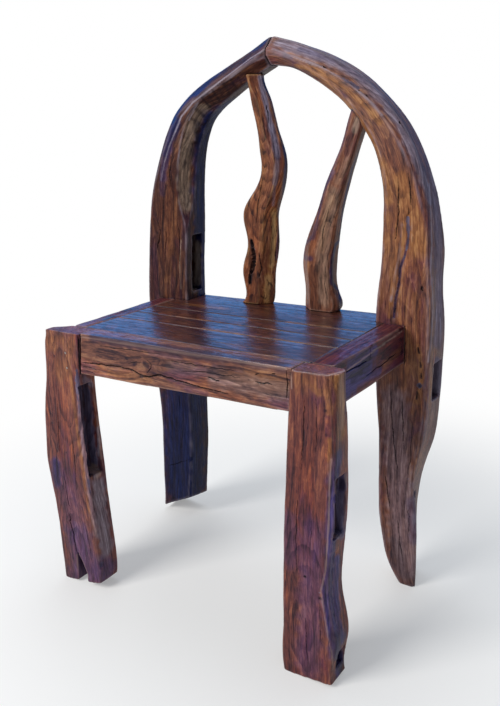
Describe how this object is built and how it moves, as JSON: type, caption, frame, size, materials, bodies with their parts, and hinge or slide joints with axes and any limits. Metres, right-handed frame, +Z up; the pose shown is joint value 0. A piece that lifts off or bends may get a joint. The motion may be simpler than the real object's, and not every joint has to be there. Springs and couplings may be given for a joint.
{
  "type": "wooden side chair",
  "caption": "Rustic side chair of reclaimed timber: pointed arched back in bent planks with crooked slats, boarded seat between rails, hewn plank legs.",
  "frame": {"origin": "bottom centre of the chair's bounding box, on the floor", "axes": "+Z up; +Y from the front legs towards the back; +X to the right seen from the front"},
  "size_m": [0.5876, 0.3432, 0.8998],
  "materials": {
    "leg_wood": "satin, worn and oiled",
    "arch_wood": "satin, worn and oiled",
    "slat_wood": "satin, with eroded hollows",
    "rail_wood": "satin varnish",
    "seat_wood": "gloss varnish",
    "inner_wood": "raw",
    "steel": "dull, partly rusted"
  },
  "bodies": {
    "root": {"seat_board_1": "seat_wood", "seat_board_2": "seat_wood", "seat_board_3": "seat_wood", "seat_board_4": "seat_wood", "left_seat_cleat": "inner_wood", "right_seat_cleat": "inner_wood", "left_front_leg": "leg_wood", "right_front_leg": "leg_wood", "left_arch_half": "arch_wood", "right_arch_half": "arch_wood", "front_rail": "rail_wood", "rear_rail": "inner_wood", "left_side_rail": "rail_wood", "right_side_rail": "rail_wood", "left_back_slat": "slat_wood", "right_back_slat": "slat_wood", "apex_tongue": "inner_wood", "front_rail_pins": "steel", "cleat_screws": "steel"}
  },
  "joints": []
}
